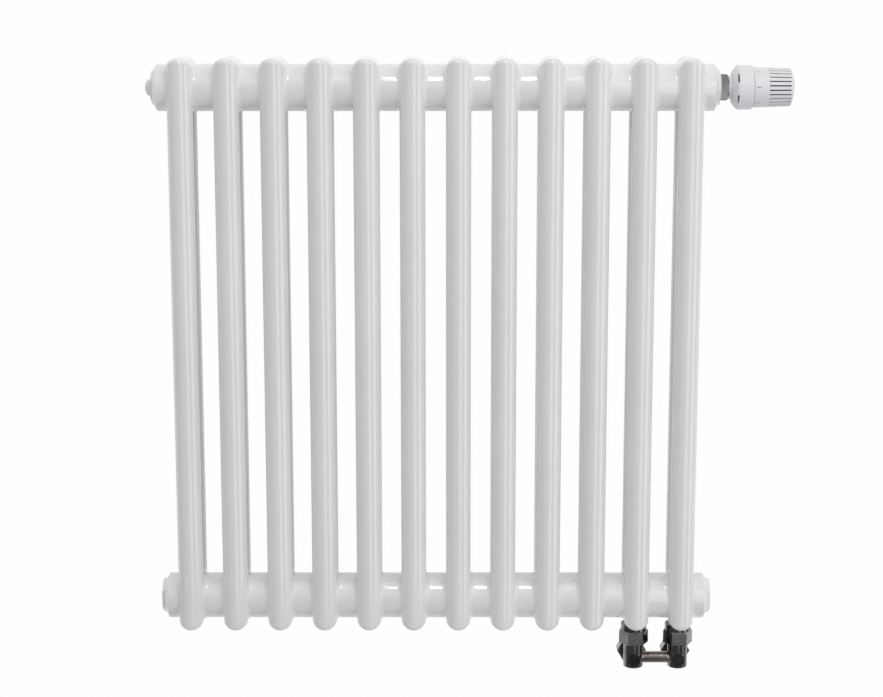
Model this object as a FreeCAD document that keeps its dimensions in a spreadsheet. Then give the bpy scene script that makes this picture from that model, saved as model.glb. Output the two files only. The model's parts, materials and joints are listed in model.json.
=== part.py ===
import FreeCAD, Part

import math
import os
from types import SimpleNamespace

import Sketcher

# Tubular column radiator with an integrated thermostatic valve and a shut-off block below it.
# Row frame, in millimetres: +X along the headers towards the thermostat, +Y towards the wall, +Z up.
# The origin is on the underside of the upper header, halfway along the sections and halfway between
# the front and the rear tubes: the wall hooks carry the radiator on that line.

doc = FreeCAD.newDocument("Radiator")

SECTIONS = 12

# Driving dimensions: (alias, value, what it is)
DIMENSIONS = [
    ("pitch", 46, "from one section to the next"),
    ("hub_spacing", 526, "between the axes of the two headers"),
    ("row_spacing", 37, "between the axes of the front and rear tubes"),
    ("tube_radius", 12.65, "25 mm tube with its paint"),
    ("steel_wall", 1.5, "wall of tubes and heads"),
    ("hub_radius", 23.4, "outside of the header"),
    ("crown_reach", 30.1, "from the hub axis to the crown of a head"),
    ("crown_height", 10.4, "height of the arched crown above its straight sides"),
    ("crown_edge", 5, "rounding where the crown turns down into a tube"),
    ("stub_reach", 34, "from the hub axis to the weld with a tube"),
    ("blend", 4.5, "hollow corner where a dome meets the hub"),
    ("collar_length", 4, "bevelled end collar, outside the last hub"),
    ("collar_depth", 12, "end collar, inside the hub"),
    ("collar_mouth", 18.6, "radius at the end of the bevel"),
    ("thread_radius", 10.45, "half inch thread of the end collars"),
    ("seal_radius", 14, "flat seal under a plug"),
    ("seal_thick", 1.5, "flat seal under a plug"),
    ("plug_flats", 31.6, "blind plug, across flats"),
    ("plug_head", 3.5, "blind plug, height of the hexagon"),
    ("plug_shank", 11, "blind plug, length of the thread"),
    ("vent_flats", 30, "vent plug, across flats"),
    ("vent_boss", 8.6, "radius of the turning vent ring"),
    ("vent_reach", 8.6, "vent ring beyond its collar"),
    ("vent_screw", 3.2, "radius of the bleed screw"),
    ("bush_radius", 17.4, "valve bush, outside"),
    ("bush_nose", 12.5, "valve bush, end of its taper"),
    ("insert_flats", 22.6, "valve insert, across flats"),
    ("insert_hex", 7.1, "valve insert, length of the hexagon"),
    ("insert_tube", 9.2, "valve insert, radius inside the header"),
    ("seat_bore", 6, "water way through the valve seat"),
    ("disc_half", 1.5, "half the thickness of the discs that divide the headers"),
    ("nose_length", 6, "valve insert, nose that carries the thermostat"),
    ("spindle_radius", 2.5, "valve spindle"),
    ("spindle_reach", 3, "valve spindle, tip beyond the insert's nose"),
    ("running", 0.05, "radial clearance of a running fit"),
    ("spring_wire", 0.6, "radius of the return spring's wire"),
    ("neck_radius", 11.3, "thermostat, neck on the insert"),
    ("cone_radius", 15.6, "thermostat, small end of the cone"),
    ("ring_radius", 22, "thermostat, widest ring"),
    ("ring_length", 14.3, "thermostat, length of the widest ring"),
    ("dial_radius", 20, "thermostat, start of the tapered dial"),
    ("dial_tip", 18.7, "thermostat, dial where its end starts to round"),
    ("dial_length", 38, "thermostat, dial with its scale band, without the rounded end"),
    ("dial_cap", 3.4, "thermostat, rise of the dial's rounded end"),
    ("dial_wall", 1.8, "thermostat, wall of the plastic shells"),
    ("dial_flat", 7, "radius of the flat on the dial's end"),
    ("slot_width", 1.3, "air slot in the dial"),
    ("slot_start", 15.2, "air slots, from the start of the dial"),
    ("slot_length", 21.6, "air slot in the dial"),
    ("slot_count", 27, "air slots round the dial"),
    ("capsule_radius", 11, "sensor capsule"),
    ("capsule_length", 20, "sensor capsule"),
    ("capsule_wall", 0.6, "drawn metal of the sensor capsule"),
    ("tap_spacing", 46, "between the two legs of the shut-off block"),
    ("tap_offset", -0.6, "legs of the block from the axes of the last two sections"),
    ("leg_radius", 10.3, "leg of the shut-off block"),
    ("leg_bottom", 77.4, "underside of the legs below the lower hub axis"),
    ("bridge_drop", 67.6, "bridge, stems and pipes below the lower hub axis"),
    ("bridge_radius", 5.7, "bridge between the legs"),
    ("nut_flats", 26.4, "union nuts and pipe nuts, across flats"),
    ("nut_height", 13.9, "union nut"),
    ("nut_top", 37.1, "top of the union nuts below the lower hub axis"),
    ("leg_cover", 7.4, "from the top of a union nut down to the end of the leg inside it"),
    ("gasket_thick", 1.5, "flat gasket of a union"),
    ("nipple_radius", 9, "nipple under a lower head"),
    ("nipple_flange", 13.5, "collar of the nipple above its nut"),
    ("stem_cap", 6.6, "shoulder of the gland ring round a shut-off stem"),
    ("gland_radius", 6, "gland ring inside the block"),
    ("gland_face", 12, "front of the gland rings from the block's axis"),
    ("stem_radius", 3.6, "shut-off stem"),
    ("ball_radius", 7.6, "shut-off ball"),
    ("way_radius", 4.2, "water way through ball and block"),
    ("pipe_radius", 8.05, "bore for a 16 mm pipe"),
    ("arm_radius", 9.5, "end of the block's arms, inside the pipe nuts"),
    ("arm_end", 28, "end of the block's arms from its axis"),
    ("pipe_nut_start", 20, "near end of a pipe nut behind the block's axis"),
    ("pipe_nut_length", 15, "pipe nut"),
]


class Length:
    """A length in millimetres together with the sheet formula that gives it."""

    def __init__(self, number, formula):
        self.number = float(number)
        self.formula = formula

    def __add__(self, other):
        other = as_length(other)
        return Length(self.number + other.number, f"({self.formula} + {other.formula})")

    def __sub__(self, other):
        other = as_length(other)
        return Length(self.number - other.number, f"({self.formula} - {other.formula})")

    def __mul__(self, factor):
        return Length(self.number * factor, f"({self.formula} * {factor})")

    def __neg__(self):
        return self * -1

    __radd__ = __add__
    __rmul__ = __mul__

    def __rsub__(self, other):
        return as_length(other) - self


def as_length(value):
    return value if isinstance(value, Length) else Length(value, f"{value}")


sheet = doc.addObject("Spreadsheet::Sheet", "Sizes")
for row, (alias, number, meaning) in enumerate(DIMENSIONS, start=1):
    sheet.set(f"A{row}", meaning)
    sheet.set(f"B{row}", str(number))
    sheet.setAlias(f"B{row}", alias)
doc.recompute()
d = SimpleNamespace(**{alias: Length(number, f"Sizes.{alias}") for alias, number, _ in DIMENSIONS})

UPPER = d.hub_radius
LOWER = d.hub_radius - d.hub_spacing
HALF_PITCH = d.pitch * 0.5
HALF_ROWS = d.row_spacing * 0.5
HEADER_END = d.pitch * (SECTIONS / 2)
COLLAR_END = HEADER_END + d.collar_length
TAP_LEVEL = LOWER - d.bridge_drop
LEG_TOP = LOWER - d.nut_top - d.leg_cover
PARTITION = HEADER_END - d.pitch

ALONG_X = FreeCAD.Rotation(FreeCAD.Vector(0, 1, 0), 90)
ALONG_MINUS_X = FreeCAD.Rotation(FreeCAD.Vector(0, 1, 0), -90)
ALONG_Y = FreeCAD.Rotation(FreeCAD.Vector(1, 0, 0), -90)
ALONG_MINUS_Y = FreeCAD.Rotation(FreeCAD.Vector(1, 0, 0), 90)
UPRIGHT = FreeCAD.Rotation()
HALF_TURN = FreeCAD.Rotation(FreeCAD.Vector(0, 0, 1), 180)
UPSIDE_DOWN = FreeCAD.Rotation(FreeCAD.Vector(1, 0, 0), 180)
X_TO_FRONT = FreeCAD.Rotation(FreeCAD.Vector(0, 0, 1), -90)
X_TO_UP = FreeCAD.Rotation(FreeCAD.Vector(0, 1, 0), -90)
HEX_TO_FLAT = 1 / math.sqrt(3)

nodes = {}


def section_x(number):
    """Axis of a section, counted from 1 at the vent end."""
    return d.pitch * (number - (SECTIONS + 1) / 2)


def bind(item, name, length):
    length = as_length(length)
    setattr(item, name, length.number)
    item.setExpression(name, length.formula)


def place(item, at, turn=UPRIGHT):
    """Put an object at three lengths, each bound to the sheet."""
    at = [as_length(value) for value in at]
    item.Placement = FreeCAD.Placement(FreeCAD.Vector(*[value.number for value in at]), turn)
    for axis, value in zip("xyz", at):
        item.setExpression(f".Placement.Base.{axis}", value.formula)


def cylinder(radius, length, at=(0, 0, 0), turn=UPRIGHT):
    item = doc.addObject("Part::Cylinder", "Cylinder")
    bind(item, "Radius", radius)
    bind(item, "Height", length)
    place(item, at, turn)
    return item


def cone(radius, far_radius, length, at=(0, 0, 0), turn=UPRIGHT):
    item = doc.addObject("Part::Cone", "Cone")
    bind(item, "Radius1", radius)
    bind(item, "Radius2", far_radius)
    bind(item, "Height", length)
    place(item, at, turn)
    return item


def sphere(radius, at=(0, 0, 0)):
    item = doc.addObject("Part::Sphere", "Sphere")
    bind(item, "Radius", radius)
    place(item, at)
    return item


def box(size, at):
    item = doc.addObject("Part::Box", "Box")
    for name, length in zip(("Length", "Width", "Height"), size):
        bind(item, name, length)
    place(item, at)
    return item


def hexagon(flats, length, at=(0, 0, 0), turn=UPRIGHT):
    item = doc.addObject("Part::Prism", "Hexagon")
    item.Polygon = 6
    bind(item, "Circumradius", flats * HEX_TO_FLAT)
    bind(item, "Height", length)
    place(item, at, turn)
    return item


def fuse(*items):
    joined = doc.addObject("Part::MultiFuse", "Fusion")
    joined.Shapes = list(items)
    joined.Refine = True
    return joined


def common(first, second):
    both = doc.addObject("Part::Common", "Common")
    both.Base = first
    both.Tool = second
    return both


def cut(base, *tools):
    rest = doc.addObject("Part::Cut", "Cut")
    rest.Base = base
    rest.Tool = tools[0] if len(tools) == 1 else fuse(*tools)
    return rest


def compound(*items):
    group = doc.addObject("Part::Compound", "Group")
    group.Links = list(items)
    return group


def node(item, label):
    """Name an object as a piece of the radiator, to be written to its own file."""
    item.Label = label
    nodes[label] = item
    return item


def outline_sketch(body, outline, plane="XY_Plane"):
    """A closed outline whose every corner is dimensioned from the origin by the sheet."""
    sketch = body.newObject("Sketcher::SketchObject", "Outline")
    origin_plane = [face for face in body.Origin.OriginFeatures if face.Role == plane][0]
    sketch.AttachmentSupport = [(origin_plane, "")]
    sketch.MapMode = "FlatFace"
    corners = [(as_length(x), as_length(y)) for x, y in outline]
    points = [FreeCAD.Vector(x.number, y.number, 0) for x, y in corners]
    for first, second in zip(points, points[1:] + points[:1]):
        sketch.addGeometry(Part.LineSegment(first, second), False)
    for line in range(len(points)):
        sketch.addConstraint(Sketcher.Constraint("Coincident", line, 2, (line + 1) % len(points), 1))
    for line, (x, y) in enumerate(corners):
        for kind, value in (("DistanceX", x), ("DistanceY", y)):
            index = sketch.addConstraint(Sketcher.Constraint(kind, -1, 1, line, 1, value.number))
            sketch.setExpression(f"Constraints[{index}]", value.formula)
    return sketch


def turned(outline, at, turn=UPRIGHT):
    """A body turned about its own X axis from (distance along the axis, radius) corners."""
    body = doc.addObject("PartDesign::Body", "Body")
    sketch = outline_sketch(body, outline)
    turning = body.newObject("PartDesign::Revolution", "Turning")
    turning.Profile = sketch
    turning.ReferenceAxis = (sketch, ["H_Axis"])
    turning.Angle = 360
    body.Tip = turning
    place(body, at, turn)
    return body


def chamfered_hex(flats, length, at, turn):
    """A hexagon along its own Z axis whose outer corners are turned off."""
    corner = flats * HEX_TO_FLAT
    blank = hexagon(flats, length)
    bevel = cone(corner + length * 0.6 - 1, corner - 1, length)
    nut = common(blank, bevel)
    place(nut, at, turn)
    return nut


def copy_of(pattern, at, turn=UPRIGHT):
    """Another piece of the same shape, somewhere else."""
    group = compound(pattern)
    place(group, at, turn)
    return group


def arched_block(inset):
    """Upper half of a head: upright sides and rounded ends, under an arched top, along Y."""
    radius = d.tube_radius - inset
    top = d.crown_reach - inset
    arch_height = d.crown_height - inset
    shoulder = top - arch_height
    depth = d.row_spacing + radius * 2
    upright = fuse(
        box((radius * 2, d.row_spacing, top), (-radius, -HALF_ROWS, 0)),
        cylinder(radius, top, (0, -HALF_ROWS, 0)),
        cylinder(radius, top, (0, HALF_ROWS, 0)))
    ellipse = doc.addObject("Part::Ellipse", "Arch")
    bind(ellipse, "MajorRadius", radius)
    bind(ellipse, "MinorRadius", arch_height)
    place(ellipse, (0, depth * -0.5, shoulder), ALONG_MINUS_Y)
    arch = doc.addObject("Part::Extrusion", "Crown")
    arch.Base = ellipse
    arch.Dir = FreeCAD.Vector(0, 1, 0)
    arch.Solid = True
    bind(arch, "LengthFwd", depth)
    under = box((radius * 2, depth, shoulder), (-radius, depth * -0.5, 0))
    return common(upright, fuse(arch, under))


def head_solid(inset):
    """The outside of a pressed head, or its inside when inset by the steel: +Z is the arched side."""
    block = arched_block(inset)
    doc.recompute()
    rims = [
        (index, d.crown_edge.number - inset, d.crown_edge.number - inset)
        for index, edge in enumerate(block.Shape.Edges, start=1)
        if edge.CenterOfMass.z > (d.crown_reach - d.crown_height).number
        and abs(edge.CenterOfMass.y) > HALF_ROWS.number + d.crown_edge.number
    ]
    crown = doc.addObject("Part::Fillet", "CrownEdge")
    crown.Base = block
    crown.Edges = rims
    parts = [crown, cylinder(d.hub_radius - inset, d.pitch, (-HALF_PITCH, 0, 0), ALONG_X)]
    for side in (-HALF_ROWS, HALF_ROWS):
        parts.append(cylinder(d.tube_radius - inset, d.stub_reach, (0, side, -d.stub_reach)))
    return fuse(*parts)


def rounded_head():
    """One pressed head with hollow corners where the domes and the stubs meet the hub."""
    outside = head_solid(0)
    doc.recompute()
    corners = []
    for index, edge in enumerate(outside.Shape.Edges, start=1):
        faces = outside.Shape.ancestorsOfType(edge, Part.Face)
        radii = [getattr(face.Surface, "Radius", 0) for face in faces]
        on_hub = [radius for radius in radii if abs(radius - d.hub_radius.number) < 0.01]
        at_weld = abs(edge.CenterOfMass.x) > HALF_PITCH.number - 1
        if len(faces) == 2 and len(on_hub) == 1 and not at_weld:
            corners.append((index, d.blend.number, d.blend.number))
    rounded = doc.addObject("Part::Fillet", "Blend")
    rounded.Base = outside
    rounded.Edges = corners
    return cut(rounded, head_solid(d.steel_wall.number))


def ring(outer, inner, length, at, turn=UPRIGHT):
    """A plain ring along its own Z axis."""
    piece = cut(cylinder(outer, length), cylinder(inner, length))
    place(piece, at, turn)
    return piece


def spring(radius, wire, length, turns, at):
    """A compression spring along +X: a round wire swept along a helix."""
    helix = doc.addObject("Part::Helix", "Helix")
    bind(helix, "Radius", radius)
    bind(helix, "Height", length)
    helix.Pitch = as_length(length).number / turns
    helix.setExpression("Pitch", f"{as_length(length).formula} / {turns}")
    profile = doc.addObject("Part::Circle", "Wire")
    bind(profile, "Radius", wire)
    place(profile, (radius, 0, 0), ALONG_MINUS_Y)
    coil = doc.addObject("Part::Sweep", "Coil")
    coil.Sections = [profile]
    coil.Spine = (helix, [])
    coil.Solid = True
    coil.Frenet = True
    place(coil, at, ALONG_X)
    return coil


def radiator_body():
    head = rounded_head()
    tube_length = d.hub_spacing - d.stub_reach * 2
    tubes = compound(*[
        ring(d.tube_radius, d.tube_radius - d.steel_wall, tube_length, (0, side, 0))
        for side in (-HALF_ROWS, HALF_ROWS)
    ])
    for number in range(1, SECTIONS + 1):
        x = section_x(number)
        node(copy_of(head, (x, 0, UPPER)), f"upper_head_{number:02d}")
        node(copy_of(tubes, (x, 0, LOWER + d.stub_reach)), f"columns_{number:02d}")
        lower = copy_of(head, (x, 0, LOWER), UPSIDE_DOWN)
        if number >= SECTIONS - 1:
            at = (x + d.tap_offset, 0, LOWER)
            lower = cut(lower, cylinder(d.nipple_radius, d.crown_reach + 1, at, UPSIDE_DOWN))
        node(lower, f"lower_head_{number:02d}")


def end_fittings():
    """Welded collars at the four ends of the headers, and the flat seals in them."""
    inside = d.hub_radius - d.steel_wall
    edge = 0.8
    seal_bottom = d.collar_length - d.seal_thick
    collar_outline = [
        (-d.collar_depth, d.thread_radius),
        (-d.collar_depth, inside),
        (0, inside),
        (0, d.hub_radius),
        (edge, d.hub_radius),
        (d.collar_length, d.collar_mouth),
        (d.collar_length, d.seal_radius),
        (seal_bottom, d.seal_radius),
        (seal_bottom, d.thread_radius),
    ]
    collars = []
    seals = []
    for level in (UPPER, LOWER):
        for side, turn in ((-1, HALF_TURN), (1, UPRIGHT)):
            collars.append(turned(collar_outline, (HEADER_END * side, 0, level), turn))
            seal_x = (COLLAR_END - d.seal_thick) * side
            along = ALONG_X if side > 0 else ALONG_MINUS_X
            seals.append(ring(d.seal_radius, d.thread_radius, d.seal_thick, (seal_x, 0, level), along))
    node(compound(*collars), "end_collars")
    return seals


def plugs_and_discs():
    """Blind plugs of the lower header, and the discs that divide both headers."""
    plugs = []
    shank_start = COLLAR_END - d.plug_shank
    for side, along in ((-1, ALONG_MINUS_X), (1, ALONG_X)):
        head = chamfered_hex(d.plug_flats, d.plug_head, (COLLAR_END * side, 0, LOWER), along)
        shank = cylinder(d.thread_radius, d.plug_shank, (shank_start * side, 0, LOWER), along)
        plugs.append(fuse(head, shank))
    node(compound(*plugs), "blind_plugs")

    inside = d.hub_radius - d.steel_wall
    thick = d.disc_half * 2
    seat = ring(inside, d.seat_bore, thick, (PARTITION - d.disc_half, 0, UPPER), ALONG_X)
    node(seat, "valve_seat_disc")
    node(cylinder(inside, thick, (PARTITION - d.disc_half, 0, LOWER), ALONG_X), "lower_blank_disc")


def air_vent():
    """Vent plug with a turning ring and a bleed screw, in the upper end away from the valve."""
    start = -COLLAR_END
    hex_height = 2.2
    neck = d.vent_screw + 1
    neck_end = d.vent_reach - 2.6
    head = chamfered_hex(d.vent_flats, hex_height, (start, 0, UPPER), ALONG_MINUS_X)
    shank = cylinder(d.thread_radius, d.plug_shank, (start + d.plug_shank, 0, UPPER), ALONG_MINUS_X)
    spigot = cylinder(neck, neck_end, (start, 0, UPPER), ALONG_MINUS_X)
    way = cylinder(d.vent_screw + d.running, 30, (start + 20, 0, UPPER), ALONG_MINUS_X)
    node(cut(fuse(head, shank, spigot), way), "vent_plug")

    ring_start = hex_height + 0.3
    cap_bore = d.vent_screw + 0.3
    cap_bottom = neck_end + 0.2
    ring_outline = [
        (ring_start, neck + d.running),
        (ring_start, d.vent_boss),
        (ring_start + 1.5, d.vent_boss),
        (d.vent_reach - 3, d.vent_boss - 0.6),
        (d.vent_reach - 1.6, d.vent_boss - 1.9),
        (d.vent_reach - 0.5, d.vent_boss - 3.4),
        (d.vent_reach, d.vent_boss - 4.3),
        (d.vent_reach, cap_bore),
        (cap_bottom, cap_bore),
        (cap_bottom, neck + d.running),
    ]
    vent_ring = turned(ring_outline, (start, 0, UPPER), HALF_TURN)
    outlet_radius = 1.1
    outlet_x = start - ring_start - 2.5
    outlet = cylinder(outlet_radius, d.vent_boss * 2, (outlet_x, 0, UPPER - 1), UPSIDE_DOWN)
    node(cut(vent_ring, outlet), "vent_ring")

    screw_end = start - 8
    screw_length = 22
    screw = cylinder(d.vent_screw, screw_length, (screw_end + screw_length, 0, UPPER), ALONG_MINUS_X)
    slot = box((2, 1, d.vent_screw * 3), (screw_end - 0.5, -0.5, UPPER - d.vent_screw * 1.5))
    node(cut(screw, slot), "bleed_screw")


def valve():
    """Valve insert in the upper header, with its spindle and return spring."""
    start = COLLAR_END
    bush_length = 3.5
    taper = 1.6
    shank = cylinder(d.thread_radius, d.plug_shank, (start - d.plug_shank, 0, UPPER), ALONG_X)
    body = turned(
        [(0, d.insert_tube), (0, d.bush_radius), (bush_length - taper, d.bush_radius),
         (bush_length, d.bush_nose), (bush_length, d.insert_tube)],
        (start, 0, UPPER))
    hollow = cylinder(d.insert_tube, 40, (start - 20, 0, UPPER), ALONG_X)
    node(cut(fuse(shank, body), hollow), "valve_bush")

    hex_start = start + bush_length
    hex_end = hex_start + d.insert_hex
    tube_start = PARTITION + d.disc_half
    tube_wall = 1.5
    gland = 8
    nose = d.nose_length
    outer = fuse(
        cylinder(d.insert_tube, hex_start - tube_start, (tube_start, 0, UPPER), ALONG_X),
        chamfered_hex(d.insert_flats, d.insert_hex, (hex_start, 0, UPPER), ALONG_X),
        cylinder(d.insert_tube - 0.4, nose, (hex_end, 0, UPPER), ALONG_X))
    chamber = cylinder(
        d.insert_tube - tube_wall, hex_end - gland - tube_start, (tube_start, 0, UPPER), ALONG_X)
    gland_bore = cylinder(
        d.spindle_radius + d.running, nose + gland + 2, (hex_end - gland - 1, 0, UPPER), ALONG_X)
    window = box((14, 40, 6), (PARTITION + 16, -20, UPPER - 3))
    node(cut(outer, chamber, gland_bore, window), "valve_insert")

    lift = 1.5
    disc_thick = 2
    collar_x = tube_start + 38
    collar_thick = 1.5
    stem_length = hex_end + nose + d.spindle_reach - tube_start - lift
    disc = cylinder(d.insert_tube - 1.9, disc_thick, (tube_start + lift, 0, UPPER), ALONG_X)
    collar = cylinder(d.insert_tube - 2.2, collar_thick, (collar_x, 0, UPPER), ALONG_X)
    stem = cylinder(d.spindle_radius, stem_length, (tube_start + lift, 0, UPPER), ALONG_X)
    node(fuse(disc, collar, stem), "valve_spindle")

    spring_start = tube_start + 17
    spring_length = collar_x - spring_start - d.spring_wire * 2 - 0.2
    coil = spring(5, d.spring_wire, spring_length, 8, (spring_start + d.spring_wire, 0, UPPER))
    node(coil, "return_spring")
    return hex_end


def thermostat_base(base_x, neck_end, cone_end, ring_end):
    """Fixed lower part of the thermostatic head: neck, cone, widest ring and the sleeve in the dial."""
    wall = d.dial_wall
    bore = d.insert_tube
    sleeve = d.dial_radius - wall - 0.3
    sleeve_end = ring_end + 6
    shelf = ring_end - 1
    edge = 0.8
    outline = [
        (0.2, bore),
        (0.2, d.neck_radius),
        (neck_end, d.neck_radius),
        (neck_end, d.cone_radius),
        (cone_end - 1.2, d.ring_radius - 0.6),
        (cone_end, d.ring_radius - 0.3),
        (cone_end + 0.6, d.ring_radius),
        (ring_end - edge, d.ring_radius),
        (ring_end, d.ring_radius - edge),
        (ring_end, sleeve),
        (sleeve_end, sleeve),
        (sleeve_end, sleeve - wall),
        (shelf, sleeve - wall),
        (shelf, d.ring_radius - wall),
        (cone_end + wall, d.ring_radius - wall),
        (neck_end + wall, bore + 3),
        (neck_end + wall, bore),
    ]
    shell = turned(outline, (base_x, 0, UPPER))
    sector = 25
    arc_height = 1.5
    arcs = []
    for step in range(6):
        pie = cylinder(d.ring_radius + 1, arc_height)
        pie.Angle = sector
        arc = cut(pie, cylinder(d.cone_radius, arc_height))
        about_axis = FreeCAD.Rotation(FreeCAD.Vector(0, 0, 1), 60 * step - sector / 2)
        place(arc, (base_x + cone_end - 1.4, 0, UPPER), ALONG_X.multiply(about_axis))
        arcs.append(arc)
    node(cut(shell, *arcs), "thermostat_base")


def thermostat_dial(dial_x):
    """Slotted dial that tapers to a shallow rounded end with a small flat."""
    wall = d.dial_wall
    tip = d.dial_length
    edge = 0.8
    corner = 0.7
    cap = [(tip - corner, d.dial_tip)]
    cap_steps = 6
    rim = d.dial_tip - corner
    full_rise = 1 - (d.dial_flat.number / d.dial_tip.number) ** 2
    for step in range(cap_steps + 1):
        radius = rim - (rim - d.dial_flat) * (step / cap_steps)
        rise = 1 - (radius.number / d.dial_tip.number) ** 2
        cap.append((tip + d.dial_cap * round(rise / full_rise, 4), radius))
    cap_end = tip + d.dial_cap
    inner_cap = [(x - wall, radius - wall) for x, radius in reversed(cap[:-1])]
    start = [(0, d.dial_radius - wall), (0, d.dial_radius - edge), (edge, d.dial_radius)]
    outline = start + cap + [(cap_end, 0), (cap_end - wall, 0)] + inner_cap
    rest_turn = FreeCAD.Rotation(FreeCAD.Vector(1, 0, 0), 1.8)
    dial = turned(outline, (dial_x, 0, UPPER), rest_turn)

    slot_end = d.slot_start + d.slot_length
    half_slot = d.slot_width * 0.5
    sketch = outline_sketch(dial, [
        (d.slot_start, -half_slot), (slot_end, -half_slot),
        (slot_end, half_slot), (d.slot_start, half_slot)])
    slot = dial.newObject("PartDesign::Pocket", "Slot")
    slot.Profile = sketch
    slot.Type = "Length"
    bind(slot, "Length", d.ring_radius)
    slot.Reversed = True
    dial.Tip = slot
    doc.recompute()
    slots = dial.newObject("PartDesign::PolarPattern", "Slots")
    slots.Originals = [slot]
    slots.Axis = (sketch, ["H_Axis"])
    slots.Angle = 360
    slots.Occurrences = int(d.slot_count.number)
    slots.setExpression("Occurrences", d.slot_count.formula)
    dial.Tip = slots
    node(dial, "dial")


def sensor(base_x, capsule_x):
    """Hollow sensor capsule with its pin on the spindle, and the overload spring behind it."""
    wall = d.capsule_wall
    pin_start = base_x + d.nose_length + d.spindle_reach + 0.2
    shell = cylinder(d.capsule_radius, d.capsule_length, (capsule_x, 0, UPPER), ALONG_X)
    pin = cylinder(d.spindle_radius, capsule_x - pin_start, (pin_start, 0, UPPER), ALONG_X)
    hollow = cylinder(
        d.capsule_radius - wall, d.capsule_length - wall * 2, (capsule_x + wall, 0, UPPER), ALONG_X)
    filling_hole = cylinder(1, 2, (capsule_x + d.capsule_length - 1, 0, UPPER), ALONG_X)
    node(cut(fuse(shell, pin), hollow, filling_hole), "sensor_capsule")
    spring_x = capsule_x + d.capsule_length + 1
    node(spring(6.5, 0.7, 10.8, 5, (spring_x, 0, UPPER)), "overload_spring")


def thermostat(base_x):
    """Thermostatic head: fixed base, turning dial, sensor capsule and its overload spring."""
    neck_end = 3.8
    cone_end = 9.3
    ring_end = cone_end + d.ring_length
    dial_start = ring_end + 0.4
    thermostat_base(base_x, neck_end, cone_end, ring_end)
    thermostat_dial(base_x + dial_start)
    sensor(base_x, base_x + dial_start + 6)


def shut_off_block(axes):
    """Two legs and a bridge with the water ways and the cavities of both ball valves."""
    rim = 1.2
    leg_height = LEG_TOP - LOWER + d.leg_bottom
    leg_outline = [
        (0, 0),
        (0, d.leg_radius - rim),
        (rim * 0.4, d.leg_radius - rim * 0.4),
        (rim, d.leg_radius),
        (leg_height, d.leg_radius),
        (leg_height, 0),
    ]
    long = 40
    bridge_bore = 2.5
    solids = [cylinder(d.bridge_radius, d.tap_spacing, (axes[0], 0, TAP_LEVEL), ALONG_X)]
    holes = [cylinder(bridge_bore, d.tap_spacing, (axes[0], 0, TAP_LEVEL), ALONG_X)]
    for x in axes:
        solids.append(turned(leg_outline, (x, 0, LOWER - d.leg_bottom), X_TO_UP))
        solids.append(cylinder(d.leg_radius - 0.3, d.pipe_nut_start, (x, 0, TAP_LEVEL), ALONG_Y))
        solids.append(cylinder(d.arm_radius, d.arm_end, (x, 0, TAP_LEVEL), ALONG_Y))
        holes.append(sphere(d.ball_radius + 0.3, (x, 0, TAP_LEVEL)))
        holes.append(cylinder(d.way_radius, long, (x, 0, TAP_LEVEL)))
        holes.append(cylinder(d.way_radius, long, (x, 0, TAP_LEVEL), ALONG_Y))
        holes.append(cylinder(
            d.pipe_radius + 0.25, 20, (x, d.pipe_nut_start - 5, TAP_LEVEL), ALONG_Y))
        holes.append(cylinder(d.gland_radius, 12, (x, -4, TAP_LEVEL), ALONG_MINUS_Y))
    node(cut(fuse(*solids), *holes), "shut_off_block")


def shut_off_ball(x, side):
    """A ball with an angle way and its stem, whose screwdriver slot shows at the front."""
    ball = sphere(d.ball_radius, (x, 0, TAP_LEVEL))
    stem = cylinder(d.stem_radius, d.gland_face - 0.3, (x, 0, TAP_LEVEL), ALONG_MINUS_Y)
    upper_port = cylinder(d.way_radius, 10, (x, 0, TAP_LEVEL))
    rear_port = cylinder(d.way_radius, 10, (x, 0, TAP_LEVEL), ALONG_Y)
    slot_width = 1.2
    slot = box(
        (d.stem_radius * 3, 2, slot_width),
        (x - d.stem_radius * 1.5, -d.gland_face - 0.3, TAP_LEVEL - slot_width / 2))
    node(cut(fuse(ball, stem), upper_port, rear_port, slot), f"shut_off_ball_{side}")


def stem_gland(x):
    """Ring screwed into the block round a stem, with a shoulder that shows."""
    seat = 7.4
    shoulder = 1.6
    bore = d.stem_radius + d.running
    length = d.gland_face - seat
    outline = [
        (0, bore),
        (0, d.gland_radius),
        (length - shoulder, d.gland_radius),
        (length - shoulder, d.stem_cap),
        (length, d.stem_cap),
        (length, bore),
    ]
    return turned(outline, (x, -seat, TAP_LEVEL), X_TO_FRONT)


def union(x):
    """Nut, nipple and flat gasket between a lower head and a leg of the block."""
    slack = FreeCAD.Rotation(FreeCAD.Vector(0, 0, 1), 3)
    nut_bottom = LOWER - d.nut_top - d.nut_height
    lip = 2.5
    clear = 0.3
    nut = cut(
        chamfered_hex(d.nut_flats, d.nut_height, (x, 0, nut_bottom), slack),
        cylinder(d.nipple_radius + 0.2, 40, (x, 0, nut_bottom - 10)),
        cylinder(d.leg_radius + 0.05, d.nut_height - lip, (x, 0, nut_bottom)))
    face = LEG_TOP + d.gasket_thick
    collar_height = d.nut_top - d.crown_reach - clear
    nipple = cut(
        fuse(
            cylinder(d.leg_radius - 0.1, 2, (x, 0, face)),
            cylinder(d.nipple_flange, collar_height, (x, 0, LOWER - d.nut_top)),
            cylinder(d.nipple_radius, 24, (x, 0, face))),
        cylinder(d.nipple_radius - 2, 60, (x, 0, LEG_TOP)))
    gasket = ring(d.leg_radius - 0.1, d.nipple_radius - 2, d.gasket_thick, (x, 0, LEG_TOP))
    return nut, nipple, gasket


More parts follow.
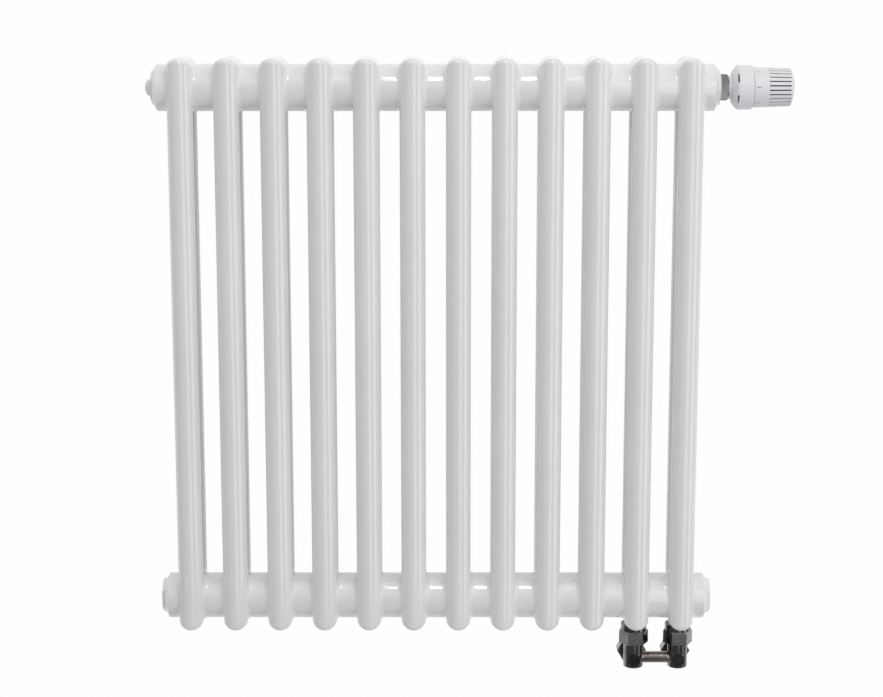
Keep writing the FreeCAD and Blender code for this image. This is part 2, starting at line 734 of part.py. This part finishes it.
def pipe_end(x):
    """Nut and olive that clamp a pipe in an arm of the block."""
    thread_length = d.pipe_nut_length - 5
    nut = cut(
        chamfered_hex(d.nut_flats, d.pipe_nut_length, (x, d.pipe_nut_start, TAP_LEVEL), ALONG_Y),
        cylinder(d.arm_radius + 0.05, thread_length, (x, d.pipe_nut_start, TAP_LEVEL), ALONG_Y),
        cylinder(d.pipe_radius, 60, (x, 0, TAP_LEVEL), ALONG_Y))
    olive_length = 1.9
    olive = ring(d.arm_radius, d.pipe_radius + 0.1, olive_length, (x, d.arm_end, TAP_LEVEL), ALONG_Y)
    return nut, olive


def connections():
    """Everything under the last two sections; returns the gaskets of the unions."""
    axes = [section_x(number) + d.tap_offset for number in (SECTIONS - 1, SECTIONS)]
    shut_off_block(axes)
    for x, side in zip(axes, ("left", "right")):
        shut_off_ball(x, side)
    nuts, nipples, gaskets = zip(*[union(x) for x in axes])
    pipe_nuts, olives = zip(*[pipe_end(x) for x in axes])
    node(compound(*[stem_gland(x) for x in axes]), "stem_glands")
    node(compound(*nuts), "union_nuts")
    node(compound(*nipples), "lower_nipples")
    node(compound(*pipe_nuts), "pipe_nuts")
    node(compound(*olives), "pipe_olives")
    return gaskets


radiator_body()
end_seals = end_fittings()
plugs_and_discs()
air_vent()
thermostat(valve())
union_gaskets = connections()
node(compound(*end_seals, *union_gaskets), "flat_seals")
doc.recompute()

failed = [item.Label for item in doc.Objects if "Invalid" in item.State or "Error" in item.State]
bad = [label for label, item in nodes.items() if item.Shape.isNull() or not item.Shape.isValid()]
if failed or bad:
    raise RuntimeError(f"failed objects {failed}, bad shapes {bad}")

os.makedirs("parts", exist_ok=True)
for label, item in nodes.items():
    item.Shape.exportStep(f"parts/{label}.step")
print(len(nodes), "pieces written")
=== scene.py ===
"""Tubular column radiator with a thermostatic valve: looks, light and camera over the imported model."""

import json
import math

import bpy
from mathutils import Euler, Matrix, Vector


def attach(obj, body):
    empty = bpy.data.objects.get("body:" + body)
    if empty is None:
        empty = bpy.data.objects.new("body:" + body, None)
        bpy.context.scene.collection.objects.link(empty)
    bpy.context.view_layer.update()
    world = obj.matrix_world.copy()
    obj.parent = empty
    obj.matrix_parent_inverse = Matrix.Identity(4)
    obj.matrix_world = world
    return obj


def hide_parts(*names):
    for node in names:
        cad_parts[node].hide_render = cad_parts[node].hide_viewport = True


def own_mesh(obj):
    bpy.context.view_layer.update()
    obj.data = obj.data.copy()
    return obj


MM = 0.001
FULL_TURN = 2 * math.pi
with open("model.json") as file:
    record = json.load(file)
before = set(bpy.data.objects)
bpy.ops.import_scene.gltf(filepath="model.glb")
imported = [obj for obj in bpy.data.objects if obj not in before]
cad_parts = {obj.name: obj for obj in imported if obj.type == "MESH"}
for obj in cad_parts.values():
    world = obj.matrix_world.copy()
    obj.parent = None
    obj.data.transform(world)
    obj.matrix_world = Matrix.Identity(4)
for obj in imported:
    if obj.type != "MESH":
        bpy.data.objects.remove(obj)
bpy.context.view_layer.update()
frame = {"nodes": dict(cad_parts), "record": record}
nodes = frame["nodes"]


# ---------------------------------------------------------------- node trees and objects

def add(tree, kind, **inputs):
    """A new node; an underscore in an input's name stands for a space."""
    made = tree.nodes.new(kind)
    for name, value in inputs.items():
        made.inputs[name.replace("_", " ")].default_value = value
    return made


def ramp(tree, factor, *stops):
    """Colours that run through (place, colour) stops."""
    made = tree.nodes.new("ShaderNodeValToRGB")
    elements = made.color_ramp.elements
    while len(elements) < len(stops):
        elements.new(0.5)
    for element, (place, colour) in zip(elements, stops):
        element.position = place
        element.color = (*colour, 1)
    tree.links.new(factor, made.inputs["Fac"])
    return made.outputs["Color"]


def put_in_scene(name, data):
    made = bpy.data.objects.new(name, data)
    bpy.context.scene.collection.objects.link(made)
    return made


# ---------------------------------------------------------------- materials

# The part of the noise over which a colour goes from its low tone to its high one.
RAMP_START, RAMP_END = 0.3, 0.7


class Material:
    """A Principled material whose colour, roughness and normal wander with noise."""

    def __init__(self, name, **values):
        self.made = bpy.data.materials.new(name)
        self.made.use_nodes = True
        self.tree = self.made.node_tree
        self.shader = self.tree.nodes["Principled BSDF"]
        for socket, value in values.items():
            self.shader.inputs[socket.replace("_", " ")].default_value = value

    def noise(self, scale, detail, stretch=(1, 1, 1)):
        """Noise in the object's own coordinates, with scale waves to the metre."""
        where = add(self.tree, "ShaderNodeTexCoord")
        stretched = add(self.tree, "ShaderNodeMapping", Scale=stretch)
        self.tree.links.new(where.outputs["Object"], stretched.inputs["Vector"])
        made = add(self.tree, "ShaderNodeTexNoise", Scale=scale, Detail=detail)
        self.tree.links.new(stretched.outputs["Vector"], made.inputs["Vector"])
        return made.outputs["Fac"]

    def bump(self, height, strength, distance, below=None):
        """A normal raised by height, on top of the normal below."""
        made = add(self.tree, "ShaderNodeBump", Strength=strength, Distance=distance)
        self.tree.links.new(height, made.inputs["Height"])
        if below is not None:
            self.tree.links.new(below, made.inputs["Normal"])
        return made.outputs["Normal"]

    def colour(self, noise, low, high):
        tones = ramp(self.tree, noise, (RAMP_START, low), (RAMP_END, high))
        self.tree.links.new(tones, self.shader.inputs["Base Color"])

    def roughness(self, noise, low, high):
        span = add(self.tree, "ShaderNodeMapRange", To_Min=low, To_Max=high)
        self.tree.links.new(noise, span.inputs["Value"])
        self.tree.links.new(span.outputs["Result"], self.shader.inputs["Roughness"])

    def normal(self, output):
        self.tree.links.new(output, self.shader.inputs["Normal"])


def white_enamel():
    """Baked gloss powder coat: a faint orange peel, and a tint that wanders a little."""
    m = Material("white_enamel", IOR=1.5, Specular_IOR_Level=1.0)
    m.colour(m.noise(9, 4), (0.80, 0.80, 0.80), (0.83, 0.83, 0.822))
    m.roughness(m.noise(60, 3), 0.07, 0.13)
    peel = m.bump(m.noise(420, 2), 0.10, 0.0002)
    m.normal(m.bump(m.noise(45, 2), 0.05, 0.0015, peel))
    return m.made


def white_plastic():
    """Satin moulded plastic with a fine spark-eroded grain."""
    m = Material("white_plastic", IOR=1.48)
    m.colour(m.noise(30, 3), (0.765, 0.77, 0.80), (0.79, 0.795, 0.82))
    m.roughness(m.noise(200, 2), 0.36, 0.46)
    m.normal(m.bump(m.noise(2600, 2), 0.12, 0.0001))
    return m.made


def nickel(name, low, high):
    """Polished nickel on turned brass, with fine turning marks."""
    m = Material(name, Metallic=1.0)
    m.colour(m.noise(70, 4), low, high)
    m.roughness(m.noise(220, 4), 0.06, 0.18)
    m.normal(m.bump(m.noise(500, 3, stretch=(1, 1, 6)), 0.12, 0.0001))
    return m.made


def brass():
    """Turned brass, slightly tarnished."""
    m = Material("brass", Metallic=1.0)
    m.colour(m.noise(80, 4), (0.52, 0.38, 0.16), (0.70, 0.54, 0.26))
    m.roughness(m.noise(250, 4), 0.22, 0.40)
    m.normal(m.bump(m.noise(900, 2, stretch=(4, 1, 1)), 0.2, 0.0001))
    return m.made


def steel(name, smoothest, roughest):
    """Steel with faint streaks."""
    m = Material(name, Metallic=1.0)
    m.colour(m.noise(60, 4), (0.36, 0.36, 0.37), (0.52, 0.52, 0.53))
    m.roughness(m.noise(200, 4), smoothest, roughest)
    m.normal(m.bump(m.noise(700, 2, stretch=(1, 5, 1)), 0.2, 0.0001))
    return m.made


def seal_rubber():
    m = Material("seal_rubber")
    m.colour(m.noise(150, 3), (0.012, 0.012, 0.012), (0.03, 0.03, 0.03))
    m.roughness(m.noise(400, 3), 0.65, 0.85)
    m.normal(m.bump(m.noise(1200, 2), 0.3, 0.0002))
    return m.made


# Near-black paint for the tube inside the dial: painted shade for the hollow behind its slots.
def slot_shade_black():
    m = Material("slot_shade_black")
    m.colour(m.noise(120, 3), (0.018, 0.018, 0.02), (0.03, 0.03, 0.032))
    m.roughness(m.noise(300, 2), 0.5, 0.7)
    m.normal(m.bump(m.noise(1500, 2), 0.2, 0.0001))
    return m.made


def tick_ink():
    m = Material("tick_ink")
    m.colour(m.noise(300, 3), (0.25, 0.25, 0.26), (0.33, 0.33, 0.34))
    m.roughness(m.noise(400, 2), 0.4, 0.55)
    m.normal(m.bump(m.noise(2400, 2), 0.1, 0.00005))
    return m.made


FINISHES = {
    "white_enamel": white_enamel(),
    "white_plastic": white_plastic(),
    # The nickel plate's tones are its own tint darkened far below bare nickel: painted shade for the dark
    # room its polish reflects.
    "nickel_plate": nickel("nickel_plate", (0.15, 0.148, 0.158), (0.27, 0.265, 0.275)),
    "stem_nickel": nickel("stem_nickel", (0.06, 0.058, 0.062), (0.11, 0.107, 0.112)),
    "worn_nickel": nickel("worn_nickel", (0.20, 0.17, 0.155), (0.30, 0.262, 0.24)),
    "brass": brass(),
    "bare_steel": steel("bare_steel", 0.30, 0.48),
    "spring_steel": steel("spring_steel", 0.2, 0.34),
    "seal_rubber": seal_rubber(),
    "slot_shade_black": slot_shade_black(),
    "tick_ink": tick_ink(),
}

STEMS = ("stem_glands", "shut_off_ball_left", "shut_off_ball_right")


def finish_nodes():
    """Every CAD node gets the finish of its slot; the stems and their gland rings are darker."""
    for entry in frame["record"]["subparts"]:
        node = nodes[entry["node"]]
        finish = "stem_nickel" if entry["node"] in STEMS else entry["material_slot"]
        node.data.materials.clear()
        node.data.materials.append(FINISHES[finish])


# ---------------------------------------------------------------- added pieces

# Heights of the valve's axis and of the bridge between the shut-off block's legs.
AXIS_Z = 23.4 * MM
BRIDGE_AXIS_Z = -570.2 * MM

DIAL_START = 314.6 * MM
DIAL_RADIUS = 20 * MM
DIAL_TAPER = 0.0366

# A near-black tube inside the dial, placed as painted shade behind its slots.
SHADE_TUBE_START, SHADE_TUBE_END = DIAL_START + 13.5 * MM, DIAL_START + 37 * MM
SHADE_TUBE_RADIUS, SHADE_TUBE_BORE = 16.3 * MM, 15.5 * MM

# The dashes' turns are in degrees from the front.
TICKS_EACH_SIDE = 3
MIDDLE_TICK, TICK_STEP = 3.4, 50
TICK_START, TICK_LENGTH = DIAL_START + 2.4 * MM, 4.6 * MM
TICK_HALF_WIDTH, TICK_LIFT = 0.4 * MM, 0.04 * MM

BRIDGE_LEFT, BRIDGE_RIGHT = 217.5 * MM, 241.5 * MM
THREAD_ROOT, THREAD_CREST, THREAD_PITCH = 5.72 * MM, 6.1 * MM, 1.0 * MM
CREST_START, CREST_END = 0.3 * THREAD_PITCH, 0.6 * THREAD_PITCH

# Points along one turn of a spring, and round its wire.
COIL_STEPS, WIRE_SIDES = 40, 12


def mesh_piece(name, points, faces, finish, smooth=True):
    mesh = bpy.data.meshes.new(name)
    mesh.from_pydata(points, [], faces)
    mesh.update()
    for face in mesh.polygons:
        face.use_smooth = smooth
    mesh.materials.append(FINISHES[finish])
    return put_in_scene(name, mesh)


def rings(rows, sides):
    """Quads between neighbouring closed rings of points."""
    faces = []
    for row in range(rows - 1):
        for side in range(sides):
            here, after = row * sides + side, row * sides + (side + 1) % sides
            faces.append((here, after, after + sides, here + sides))
    return faces


def lathe_along_x(name, profile, centre_z, finish, sides=96):
    """Turn (x, radius) pairs about a line along X; the ends stay open."""
    points = []
    for x, radius in profile:
        for side in range(sides):
            turn = FULL_TURN * side / sides
            points.append((x, radius * math.sin(turn), centre_z + radius * math.cos(turn)))
    return mesh_piece(name, points, rings(len(profile), sides), finish)


def dial_painted_shade():
    """A near-black tube inside the dial: painted shade for the dark hollow seen through its slots."""
    profile = [(SHADE_TUBE_START, SHADE_TUBE_BORE), (SHADE_TUBE_START, SHADE_TUBE_RADIUS),
               (SHADE_TUBE_END, SHADE_TUBE_RADIUS), (SHADE_TUBE_END, SHADE_TUBE_BORE)]
    shading_tube = lathe_along_x("dial_painted_shade", profile, AXIS_Z, "slot_shade_black")
    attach(shading_tube, "dial")


def dial_ticks():
    """Printed dashes on the dial's tapered scale band, one for each setting."""
    points, faces = [], []
    for tick in range(-TICKS_EACH_SIDE, TICKS_EACH_SIDE + 1):
        turn = math.radians(MIDDLE_TICK + TICK_STEP * tick)
        for x in (TICK_START, TICK_START + TICK_LENGTH):
            radius = DIAL_RADIUS - (x - DIAL_START) * DIAL_TAPER + TICK_LIFT
            for side in (-1, 1):
                angle = turn + side * TICK_HALF_WIDTH / radius
                points.append((x, -radius * math.cos(angle), AXIS_Z + radius * math.sin(angle)))
        first = len(points) - 4
        faces.append((first, first + 1, first + 3, first + 2))
    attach(mesh_piece("dial_ticks", points, faces, "tick_ink", smooth=False), "dial")


def bridge_thread():
    """Fine thread on the bridge between the two legs of the shut-off block."""
    profile = []
    for turn in range(round((BRIDGE_RIGHT - BRIDGE_LEFT) / THREAD_PITCH)):
        x = BRIDGE_LEFT + turn * THREAD_PITCH
        profile += [(x, THREAD_ROOT), (x + CREST_START, THREAD_CREST), (x + CREST_END, THREAD_CREST)]
    profile.append((BRIDGE_RIGHT, THREAD_ROOT))
    thread = lathe_along_x("bridge_thread", profile, BRIDGE_AXIS_Z, "worn_nickel", sides=64)
    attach(thread, "radiator")


def coil(node, start_x, length, radius, wire, turns):
    """A wire wound along X that stands for a CAD spring."""
    steps = turns * COIL_STEPS
    rise = length / (FULL_TURN * turns)
    points = []
    for step in range(steps + 1):
        turn = FULL_TURN * turns * step / steps
        out = Vector((0, math.sin(turn), -math.cos(turn)))
        along = Vector((rise, radius * math.cos(turn), radius * math.sin(turn))).normalized()
        across = along.cross(out)
        centre = Vector((start_x + rise * turn, 0, AXIS_Z)) + out * radius
        for side in range(WIRE_SIDES):
            angle = FULL_TURN * side / WIRE_SIDES
            points.append(centre + (out * math.cos(angle) + across * math.sin(angle)) * wire)
    faces = rings(steps + 1, WIRE_SIDES)
    faces.append(tuple(reversed(range(WIRE_SIDES))))
    faces.append(tuple(range(steps * WIRE_SIDES, (steps + 1) * WIRE_SIDES)))
    piece = mesh_piece(node + "_coil", points, faces, "spring_steel")
    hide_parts(node)
    return piece


def springs():
    """Coils in place of the CAD springs: the overload spring rides on the dial, the return spring on the
    radiator.
    """
    overload = coil("overload_spring", start_x=341.6 * MM, length=10.8 * MM,
                    radius=6.5 * MM, wire=0.7 * MM, turns=5)
    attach(overload, "dial")
    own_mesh(overload)
    back = coil("return_spring", start_x=249.1 * MM, length=19.6 * MM,
                radius=5 * MM, wire=0.6 * MM, turns=8)
    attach(back, "radiator")
    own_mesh(back)


# ---------------------------------------------------------------- light and camera

BACKDROP = (0.99, 0.99, 0.99, 1)
SOFT_STRENGTH, ROOM_STRENGTH = 0.93, 1.0
AIM = Vector((0, 0, -0.24))
FLOOR_Z, FLOOR_REACH = -1.4, 9.0
SENSOR, LENS = 36, 85.86
CAMERA_AT = (0.01385, -2.1068, 0.1662)
LOOK_DOWN, ROLL, PAN = 0.191, 0.0007, 0.0037  # radians


def sky(tree, height, strength, *stops):
    """Light that changes with height: 0 is straight below and 1 straight above."""
    spread = add(tree, "ShaderNodeMapRange", From_Min=-1)
    tree.links.new(height, spread.inputs["Value"])
    light = add(tree, "ShaderNodeBackground", Strength=strength)
    tree.links.new(ramp(tree, spread.outputs["Result"], *stops), light.inputs["Color"])
    return light.outputs[0]


def mix(tree, share, first, second):
    both = tree.nodes.new("ShaderNodeMixShader")
    for source, target in zip((share, first, second), both.inputs):
        tree.links.new(source, target)
    return both.outputs[0]


def world_light():
    """Soft light from all round, a room with more contrast for reflections, white behind the part."""
    world = bpy.data.worlds.new("studio")
    bpy.context.scene.world = world
    world.use_nodes = True
    tree = world.node_tree
    tree.nodes.clear()
    where = tree.nodes.new("ShaderNodeTexCoord")
    axes = tree.nodes.new("ShaderNodeSeparateXYZ")
    tree.links.new(where.outputs["Generated"], axes.inputs[0])
    soft = sky(
        tree, axes.outputs["Z"], SOFT_STRENGTH,
        (0.0, (0.64, 0.64, 0.65)), (0.42, (0.58, 0.58, 0.605)), (0.55, (0.57, 0.57, 0.595)),
        (0.75, (0.70, 0.70, 0.69)), (1.0, (0.82, 0.82, 0.79)))
    room = sky(
        tree, axes.outputs["Z"], ROOM_STRENGTH,
        (0.0, (0.42, 0.40, 0.39)), (0.36, (0.13, 0.125, 0.12)), (0.52, (0.18, 0.175, 0.17)),
        (0.66, (0.55, 0.55, 0.55)), (1.0, (0.98, 0.98, 0.97)))
    white = add(tree, "ShaderNodeBackground", Color=BACKDROP).outputs[0]

    def backed(light, start, end, most):
        """The light in front gives way to white behind the radiator."""
        behind = add(tree, "ShaderNodeMapRange", From_Min=start, From_Max=end, To_Max=most)
        behind.interpolation_type = "SMOOTHSTEP"
        tree.links.new(axes.outputs["Y"], behind.inputs["Value"])
        return mix(tree, behind.outputs["Result"], light, white)

    ray = tree.nodes.new("ShaderNodeLightPath").outputs
    lit = mix(tree, ray["Is Glossy Ray"], backed(soft, 0.0, 1.0, 0.5), backed(room, -0.1, 0.45, 1.0))
    out = tree.nodes.new("ShaderNodeOutputWorld")
    tree.links.new(mix(tree, ray["Is Camera Ray"], lit, white), out.inputs["Surface"])


def lamp(name, azimuth, elevation, distance, size, power, colour=(1, 1, 1)):
    """A lamp that faces AIM, at an azimuth from the camera's side, positive to the right."""
    turn, rise = math.radians(azimuth), math.radians(elevation)
    away = Vector((math.sin(turn) * math.cos(rise), -math.cos(turn) * math.cos(rise), math.sin(rise)))
    data = bpy.data.lights.new(name, "AREA")
    data.shape = "RECTANGLE"
    data.size, data.size_y = size
    data.energy = power
    data.color = colour
    light = put_in_scene(name, data)
    light.location = AIM + away * distance
    light.rotation_euler = (AIM - light.location).to_track_quat("-Z", "Y").to_euler()
    return light


def studio():
    """Fills that only light the surfaces, and windows that only show as reflections."""
    bpy.context.scene.view_settings.view_transform = "Standard"
    world_light()
    fills = [
        lamp("right_fill", 50, 4, 2.6, (1.0, 3.2), 15),
        lamp("top_fill", 10, 50, 2.6, (2.4, 1.4), 14, (1.0, 0.985, 0.95)),
        lamp("back_fill", 180, 40, 2.6, (2.4, 1.4), 4),
    ]
    for light in fills:
        light.visible_glossy = False
    windows = [
        lamp("near_window", 19, 6, 2.6, (1.0, 2.9), 9.5),
        lamp("side_window", 68, 6, 2.6, (1.0, 2.9), 12.5),
        lamp("crown_lamp", 2, 51, 2.4, (0.3, 0.6), 9),
    ]
    for light in windows:
        light.visible_diffuse = False


def pale_floor():
    """A plain pale floor well below the hanging radiator."""
    corners = [(x * FLOOR_REACH, y * FLOOR_REACH, FLOOR_Z) for x, y in ((-1, -1), (1, -1), (1, 1), (-1, 1))]
    mesh = bpy.data.meshes.new("floor")
    mesh.from_pydata(corners, [], [(0, 1, 2, 3)])
    material = bpy.data.materials.new("pale_floor")
    material.use_nodes = True
    tree = material.node_tree
    tree.nodes.clear()
    glow = add(tree, "ShaderNodeEmission", Color=BACKDROP)
    out = tree.nodes.new("ShaderNodeOutputMaterial")
    tree.links.new(glow.outputs[0], out.inputs["Surface"])
    mesh.materials.append(material)
    floor = put_in_scene("floor", mesh)
    floor.visible_diffuse = False
    floor.visible_glossy = False


def camera():
    data = bpy.data.cameras.new("camera")
    data.sensor_width = SENSOR
    data.lens = LENS
    data.clip_start, data.clip_end = 0.05, 60
    made = put_in_scene("camera", data)
    made.location = CAMERA_AT
    made.rotation_euler = Euler((math.radians(90) - LOOK_DOWN, ROLL, PAN), "XYZ")
    bpy.context.scene.camera = made


finish_nodes()
dial_painted_shade()
dial_ticks()
bridge_thread()
springs()
studio()
pale_floor()
camera()
